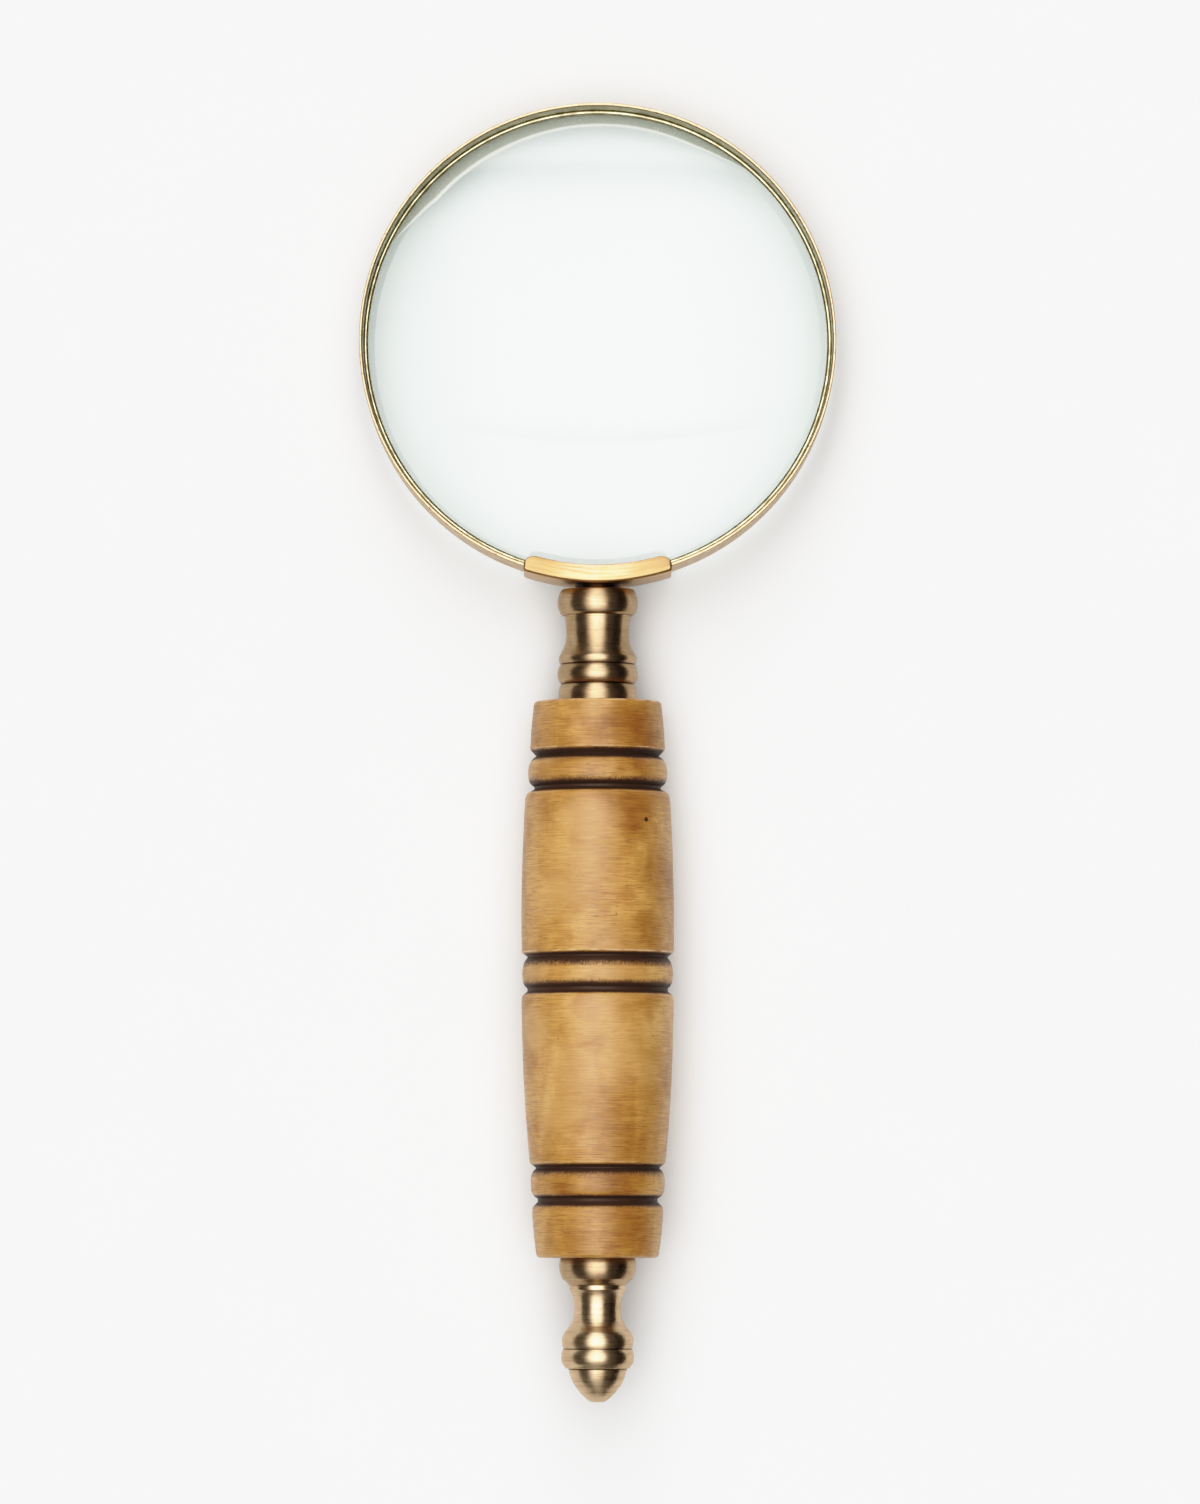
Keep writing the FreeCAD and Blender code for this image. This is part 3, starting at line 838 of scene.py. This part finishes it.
def make_turned_brass(name, dull, bright, tarnished):
    """Lathe-turned brass, brushed round its axis, darker where it isn't rubbed, and with painted
    shade in its creases.

    tarnished is how much of its colour the hollows lose.
    """
    s = Shader(name)
    clouds = s.noise((5, 5, 5), 3.0, 0.55)
    lines = s.noise((7, 0.3, 7), 4.0, 0.6, offset=3)
    colour = s.mix(s.ramp(clouds, 0.3, 0.7), dull, bright)
    colour = s.mix(s.ramp(lines, 0.48, 0.72, 0, 0.45), colour, tone(136, 108, 72))
    spots = s.noise((0.5, 0.5, 0.5), 2.0, 0.5, offset=13)
    colour = s.mix(s.ramp(spots, 0.66, 0.76, 0, 0.5), colour, tone(120, 88, 50))
    groove = s.value_of("groove")
    tarnish = s.math("ADD", groove, s.math("MULTIPLY", s.math("SUBTRACT", clouds, 0.5), 0.25))
    colour = s.mix(s.ramp(tarnish, 0.12, 0.9, 0, tarnished), colour, tone(96, 66, 38))
    edge = s.value_of("edge")
    colour = s.mix(s.ramp(edge, 0.3, 1.0, 0, 0.4), colour, tone(216, 190, 146))
    # Inward folds darkened to brown: painted shade in the creases, with the dirt lodged there
    colour = s.mix(s.ramp(s.value_of("crease"), 0.25, 0.8, 0, 0.85), colour, tone(62, 44, 28))
    rough = s.ramp(s.noise((3, 0.4, 3), 3.0, offset=23), 0.3, 0.7, 0.27, 0.37)
    around_axis = s.node("Tangent", direction_type="RADIAL", axis="Y").outputs[0]
    scratches = s.noise((2.2, 0.07, 2.2), 3.0, 0.6, offset=29)
    relief = s.math("ADD", lines, s.math("MULTIPLY", scratches, 0.3))
    normal = s.bump(relief, 0.004 * MM)
    s.surface(Base_Color=colour, Metallic=1.0, Roughness=rough, Normal=normal,
              Anisotropic=0.6, Anisotropic_Rotation=0.25, Tangent=around_axis,
              Specular_Tint=(0.9, 0.86, 0.8, 1))
    return s.material


def from_lens_axis(shader):
    """How far the surface is from the lens's axis, in millimetres."""
    flat = shader.node("VectorMath", operation="MULTIPLY")
    shader.link(shader.place, flat.inputs[0])
    flat.inputs[1].default_value = (1, 1, 0)
    made = shader.node("VectorMath", operation="LENGTH")
    shader.link(flat.outputs[0], made.inputs[0])
    return made.outputs["Value"]


# The middle of the rim band's wall and the saddle's outer wall, from the lens's axis, in mm
BAND_MIDDLE = 50.6
SADDLE_FACE = 52.0


def make_band_brass():
    """The rim's strip: drawn brass, its front edge rubbed bright and freckled with brown, and
    its inner wall mixed to pale grey as a painted reflection of the floor.
    """
    s = Shader("rim_band_brass")
    clouds = s.noise((6, 6, 4), 3.0, 0.55)
    drawn = s.noise((14, 14, 0.35), 4.0, 0.6, offset=3)
    colour = s.mix(s.ramp(clouds, 0.3, 0.7), tone(180, 150, 106), tone(194, 166, 122))
    colour = s.mix(s.ramp(drawn, 0.5, 0.75, 0, 0.3), colour, tone(146, 116, 74))
    edge = s.value_of("edge")
    colour = s.mix(s.ramp(edge, 0.2, 0.9, 0, 0.8), colour, tone(192, 173, 142))
    # Painted reflection: the inner wall, away from its edges, turns pale grey as if it mirrored
    # the floor
    inside = s.ramp(from_lens_axis(s), BAND_MIDDLE + 0.1, BAND_MIDDLE - 0.1)
    painted_reflection_mask = s.math("MULTIPLY", inside, s.ramp(edge, 0.3, 0.0))
    colour = s.mix(s.math("MULTIPLY", painted_reflection_mask, 0.9), colour, tone(186, 190, 176))
    freckles = s.noise((0.55, 0.55, 0.55), 2.0, 0.6, offset=9)
    colour = s.mix(s.ramp(freckles, 0.6, 0.7, 0, 0.75), colour, tone(120, 84, 46))
    rough = s.ramp(s.noise((2, 2, 2), 3.0, offset=23), 0.3, 0.7, 0.3, 0.44)
    relief = s.math("ADD", drawn, s.math("MULTIPLY", freckles, -0.6))
    normal = s.bump(relief, 0.012 * MM)
    s.surface(Base_Color=colour, Metallic=1.0, Roughness=rough, Normal=normal)
    return s.material


def make_saddle_brass():
    """The saddle's sheet, brushed along its curve, darker and more olive towards its two ends,
    with painted shade on the outer wall of its web.
    """
    s = Shader("saddle_brass")
    across, _, height = s.parts_of_place()
    from_axis = from_lens_axis(s)
    bent = s.node("CombineXYZ")
    for part, socket in zip((across, from_axis, height), bent.inputs):
        s.link(part, socket)
    lines = s.noise((7, 0.16, 0.3), 4.0, 0.6, place=bent.outputs[0])
    streaks = s.noise((9, 0.5, 0.8), 3.0, 0.6, place=bent.outputs[0], offset=5)
    clouds = s.noise((5, 5, 5), 3.0, 0.5)
    colour = s.mix(s.ramp(clouds, 0.3, 0.7), tone(177, 147, 106), tone(188, 160, 130))
    colour = s.mix(s.ramp(streaks, 0.46, 0.72, 0, 0.6), colour, tone(156, 124, 76))
    colour = s.mix(s.ramp(lines, 0.5, 0.75, 0, 0.35), colour, tone(160, 126, 74))
    # Darker and more olive towards both ends of the flanges
    aside = s.math("ABSOLUTE", across)
    colour = s.mix(s.ramp(aside, 2.0, 14.0, 0, 0.8), colour, tone(144, 118, 80))
    # Painted shade: the web's outer wall, which faces away from the overhead light, takes a
    # deeper gold than the face of the same sheet
    wall = s.ramp(from_axis, SADDLE_FACE + 0.1, SADDLE_FACE - 0.1, 0.6, 0)
    colour = s.mix(wall, colour, tone(204, 158, 88))
    freckles = s.noise((0.3, 0.3, 0.3), 2.0, 0.5, offset=19)
    colour = s.mix(s.ramp(freckles, 0.68, 0.76, 0, 0.5), colour, tone(126, 92, 50))
    rough = s.ramp(streaks, 0.3, 0.7, 0.26, 0.38)
    normal = s.bump(s.math("ADD", lines, s.math("MULTIPLY", streaks, 0.5)), 0.01 * MM)
    s.surface(Base_Color=colour, Metallic=1.0, Roughness=rough, Normal=normal)
    return s.material


def make_wire_brass():
    """The sprung wires: plain drawn brass with a few dull places."""
    s = Shader("wire_brass")
    clouds = s.noise((2.5, 2.5, 2.5), 3.0, 0.55)
    colour = s.mix(s.ramp(clouds, 0.35, 0.7), tone(206, 198, 166), tone(160, 148, 116))
    rough = s.ramp(clouds, 0.3, 0.7, 0.2, 0.36)
    normal = s.bump(s.noise((0.4, 0.4, 0.4), 3.0, offset=7), 0.006 * MM)
    s.surface(Base_Color=colour, Metallic=1.0, Roughness=rough, Normal=normal)
    return s.material


# The station, in mm, up to which the tie rod is painted dark brown: a painted shadow of the
# narrow gap between the saddle and the rod's shoulder
GAP_SHADOW_END = 54.0


def make_plated_steel():
    """Zinc-plated steel with the faint spangle of the plating and a turned finish, painted dark
    brown near the saddle as a painted shadow of the gap there.
    """
    s = Shader("zinc_plated_steel")
    spangle = s.node("TexVoronoi", feature="F1")
    s.link(s.place, spangle.inputs["Vector"])
    spangle.inputs["Scale"].default_value = 1.4
    lines = s.noise((3, 0.2, 3), 3.0, 0.6)
    colour = s.mix(s.ramp(lines, 0.4, 0.7, 0, 0.5), tone(186, 188, 190), tone(150, 152, 156))
    flakes = s.ramp(spangle.outputs["Distance"], 0.2, 0.8, 0, 0.3)
    colour = s.mix(flakes, colour, tone(206, 204, 196))
    # Painted shadow: the rod turns dark brown from here towards the lens, where it runs into the
    # gap under the saddle
    towards_lens = s.parts_of_place()["Y"]
    painted_gap_shadow = s.ramp(towards_lens, -GAP_SHADOW_END - 0.2, -GAP_SHADOW_END + 0.2)
    colour = s.mix(painted_gap_shadow, colour, tone(62, 44, 30))
    rough = s.ramp(s.noise((1, 1, 1), 3.0, offset=5), 0.3, 0.7, 0.28, 0.42)
    s.surface(Base_Color=colour, Metallic=1.0, Roughness=rough, Normal=s.bump(lines, 0.006 * MM))
    return s.material


def make_glass():
    """Clear, faintly green optical glass. Shadow and diffuse rays go straight through it."""
    s = Shader("optical_glass")
    glass = s.node("BsdfPrincipled")
    s.link(tone(251, 253, 254), glass.inputs["Base Color"])
    smear = s.ramp(s.noise((16, 9, 16), 4.0, 0.6, distortion=1.0), 0.55, 0.8, 0.0, 0.035)
    s.link(smear, glass.inputs["Roughness"])
    glass.inputs["IOR"].default_value = 1.52
    glass.inputs["Transmission Weight"].default_value = 1.0
    clear = s.node("BsdfTransparent")
    clear.inputs["Color"].default_value = (0.9, 0.93, 0.915, 1)
    rays = s.node("LightPath")
    unbent = s.math("MAXIMUM", rays.outputs["Is Shadow Ray"], rays.outputs["Is Diffuse Ray"])
    blend = s.node("MixShader")
    s.link(unbent, blend.inputs[0])
    s.link(glass.outputs[0], blend.inputs[1])
    s.link(clear.outputs[0], blend.inputs[2])
    s.link(blend.outputs[0], s.output.inputs["Surface"])
    return s.material


# Painted shade on the ground edge, deepest near the rim, lifts between these distances from the
# lens's axis, inward, in mm
PALER_GROUND = (49.0, 46.4)


def make_ground_and_shade_glass():
    """The lens's ground edge and its crescent of painted shade: frosted, greenish grey, paler
    inwards, speckled with bright chips, with a painted highlight along its lip.
    """
    s = Shader("ground_and_shade_glass")
    chips = s.noise((0.4, 0.4, 0.4), 3.0, 0.65)
    # Painted shade: greyer near the rim, paler inwards
    inward = s.ramp(from_lens_axis(s), *PALER_GROUND)
    colour = s.mix(inward, tone(182, 187, 173), tone(190, 194, 183))
    colour = s.mix(s.ramp(chips, 0.52, 0.7, 0, 0.5), colour, tone(232, 236, 228))
    # Painted highlight: a near-white line along the lip where the frosted edge meets the
    # polished face
    colour = s.mix(s.ramp(s.value_of("lip"), 0.72, 0.85, 0, 0.9), colour, tone(250, 250, 244))
    rough = s.ramp(chips, 0.4, 0.6, 0.55, 0.3)
    normal = s.bump(chips, 0.05 * MM)
    surface = s.surface(Base_Color=colour, Roughness=rough, Normal=normal, IOR=1.52)
    surface.inputs["Transmission Weight"].default_value = 0.35
    return s.material


# ---------------------------------------------------------------- stage, light and camera

# The strip light's left and right edges, each from dark to bright, in degrees from overhead,
# and how much brighter it is on the left, for each radian
STRIP_EDGES = ((-45, -9), (33, 16))
LEFT_BIAS = 0.3 / math.radians(30)
# The strip's parts, from the finial's end to the lens's: brightness, near edge, far edge
STRIP_PARTS = (
    (0.17, ((-84, -60), (-25, -31))),
    (1.0, ((-31, -25), (27, 21))),
    (0.8, ((25.5, 27), (80, 60))),
)
STRIP_LIGHT = 3.2
ROOM_LIGHT = (0.125, 0.122, 0.118, 1)

# What the film shows for what it sees: a slight toe, then straight, then a shoulder
FILM_WHITE = 3.0
FILM_CURVE = (
    (0.03, 0.016), (0.08, 0.062), (0.18, 0.178), (0.35, 0.375), (0.68, 0.76), (0.815, 0.865),
    (0.95, 0.925), (1.05, 0.947), (1.6, 0.97),
)

# The camera: sensor and focal length in mm, place in the glass's frame, and how far it leans
# towards the lens, in degrees
SENSOR = 36
FOCAL_LENGTH = 193.16
CAMERA_PLACE = (0.5 * MM, -194.16 * MM, 1723.6 * MM)
CAMERA_LEAN = 3.531


def stage_piece(name, corners, faces, shader, colour):
    """A dull object of one material, for the stage."""
    mesh = bpy.data.meshes.new(name)
    mesh.from_pydata(corners, [], faces)
    shader.surface(Base_Color=colour, Roughness=0.9, Specular_IOR_Level=0.0)
    mesh.materials.append(shader.material)
    return placed(name, mesh)


def make_floor():
    """A pale floor that turns up gently far from the glass."""
    rings = 24
    around = 96
    flat_reach = 1.6
    far_reach = 4.0
    rise = 0.3
    corners = [(0, 0, 0)]
    for ring in range(1, rings + 1):
        reach = far_reach * ring / rings
        share = max(0.0, (reach - flat_reach) / (far_reach - flat_reach))
        for n in range(around):
            angle = 2 * math.pi * n / around
            corners.append((reach * math.cos(angle), reach * math.sin(angle), rise * share ** 2))
    faces = [(0, 1 + n, 1 + (n + 1) % around) for n in range(around)]
    for ring in range(rings - 1):
        here = 1 + ring * around
        there = here + around
        for n in range(around):
            m = (n + 1) % around
            faces.append((here + n, there + n, there + m, here + m))
    s = Shader("pale_floor")
    grain = s.noise((30, 30, 30), 2.0)
    colour = s.mix(grain, (0.86, 0.86, 0.86, 1), (0.88, 0.88, 0.88, 1))
    floor = stage_piece("floor", corners, faces, s, colour)
    for polygon in floor.data.polygons:
        polygon.use_smooth = True


def make_black_card():
    """A dark card at the right of the glass, seen only in its reflections."""
    aside = 0.135
    bottom = 0.0005
    top = 0.09
    half_length = 0.6
    corners = [(aside, -half_length, bottom), (aside, half_length, bottom),
               (aside, half_length, top), (aside, -half_length, top)]
    colour = (0.06, 0.045, 0.03, 1)
    card = stage_piece("black_card", corners, [(0, 1, 2, 3)], Shader("black_card"), colour)
    card.visible_camera = False
    card.visible_diffuse = False
    card.visible_shadow = False
    card.visible_transmission = False


def make_studio():
    """A long strip of soft light overhead, a little left of the glass, in a dim room.

    The strip runs along the handle and its middle part is brighter. It is drawn on the sky
    by each direction's lean from overhead, so it looks the same from all over the floor.
    """
    world = bpy.data.worlds.new("strip_light")
    world.use_nodes = True
    tree = world.node_tree
    tree.nodes.clear()

    def node(kind, *values, **settings):
        made = tree.nodes.new("ShaderNode" + kind)
        for name, value in settings.items():
            setattr(made, name, value)
        for socket, value in zip(made.inputs, values):
            if isinstance(value, bpy.types.NodeSocket):
                tree.links.new(value, socket)
            else:
                socket.default_value = value
        return made.outputs[0]

    def between(lean, edges):
        """1 between two edges and 0 outside them, each given as where it is dark and bright."""
        first, last = [
            node("MapRange", lean, math.radians(dark), math.radians(bright),
                 interpolation_type="SMOOTHSTEP")
            for dark, bright in edges
        ]
        return node("Math", first, last, operation="MULTIPLY")

    way = node("TexCoord").node.outputs["Generated"]
    x, y, z = node("SeparateXYZ", way).node.outputs
    to_right = node("Math", x, z, operation="ARCTAN2")
    to_back = node("Math", y, z, operation="ARCTAN2")
    strip = 0.0
    for share, edges in STRIP_PARTS:
        strip = node("Math", between(to_back, edges), share, strip, operation="MULTIPLY_ADD")
    lit = node("Math", strip, between(to_right, STRIP_EDGES), operation="MULTIPLY")
    slope = node("Math", to_right, -LEFT_BIAS, 1.0, operation="MULTIPLY_ADD")
    lit = node("Math", lit, slope, operation="MULTIPLY")
    colour = node("Mix", lit, data_type="RGBA", clamp_factor=False).node
    colour.inputs[MIX_FIRST].default_value = ROOM_LIGHT
    colour.inputs[MIX_SECOND].default_value = (STRIP_LIGHT, STRIP_LIGHT, STRIP_LIGHT, 1)
    sky = node("Background", colour.outputs[MIX_RESULT])
    output = tree.nodes.new("ShaderNodeOutputWorld")
    tree.links.new(sky, output.inputs["Surface"])
    bpy.context.scene.world = world


def make_film():
    """Plain colours up to a shoulder that keeps the floor and the highlights from clipping."""
    settings = bpy.context.scene.view_settings
    settings.view_transform = "Standard"
    settings.use_curve_mapping = True
    mapping = settings.curve_mapping
    mapping.white_level = (FILM_WHITE, FILM_WHITE, FILM_WHITE)
    mapping.extend = "HORIZONTAL"
    all_colours = mapping.curves[3]
    for seen, shown in FILM_CURVE:
        all_colours.points.new(seen / FILM_WHITE, shown)
    for point in all_colours.points:
        point.handle_type = "AUTO_CLAMPED"
    mapping.update()


def make_light_paths():
    """Bounces enough for light caught inside the lens, which turns back many times there."""
    paths = bpy.context.scene.cycles
    paths.max_bounces = 32
    paths.glossy_bounces = 24
    paths.transmission_bounces = 24


def make_camera():
    """A long lens almost straight above the middle of the glass."""
    camera = bpy.data.cameras.new("camera")
    camera.sensor_width = SENSOR
    camera.lens = FOCAL_LENGTH
    camera.clip_start = 0.05
    camera.clip_end = 30
    holder = placed("camera", camera)
    holder.location = GLASS @ Vector(CAMERA_PLACE)
    holder.rotation_euler = (math.radians(CAMERA_LEAN) - TILT, 0, 0)
    bpy.context.scene.camera = holder


# ---------------------------------------------------------------- the object

# Turned meshes: corners round the axis, longest step along the outline, and how far its
# corners are softened
BRASS_MESH = (192, 0.35 * MM, 0.07 * MM)
WOOD_MESH = (208, 0.9 * MM, 0.1 * MM)


def dress(node, material):
    """Gives a CAD node that stays in view its finish."""
    for slot in frame["nodes"][node].material_slots:
        slot.material = material


def make_object():
    wood = make_wood()
    turned = make_turned_brass("turned_brass", tone(164, 140, 111), tone(180, 156, 127), 0.62)
    rubbed = make_turned_brass("rubbed_brass", tone(190, 166, 135), tone(204, 182, 152), 0.25)
    wire = make_wire_brass()
    steel = make_plated_steel()
    make_lens_piece(make_glass(), make_ground_and_shade_glass())
    make_band_piece(make_band_brass())
    make_saddle_piece(make_saddle_brass())
    for name, node, body, brass in (
        ("collar_bead", "neck_collar", "glass_and_handle", turned),
        ("ferrule_turning", "neck_ferrule", "glass_and_handle", turned),
        ("finial_bead", "finial_collar", "finial_collar", turned),
        ("finial_turning", "finial", "finial", rubbed),
    ):
        turned_piece(name, node, body, "antique_brass", brass, *BRASS_MESH, polished_brass)
    turned_piece(
        "handle_turning", "wood_handle", "glass_and_handle", "turned_wood", wood,
        *WOOD_MESH, hand_turned,
    )
    for node in ("front_retaining_wire", "rear_retaining_wire"):
        dress(node, wire)
    for node in ("tie_rod", "handle_washer", "handle_nut"):
        dress(node, steel)


make_camera()
make_film()
make_light_paths()
make_studio()
make_floor()
make_black_card()
make_object()
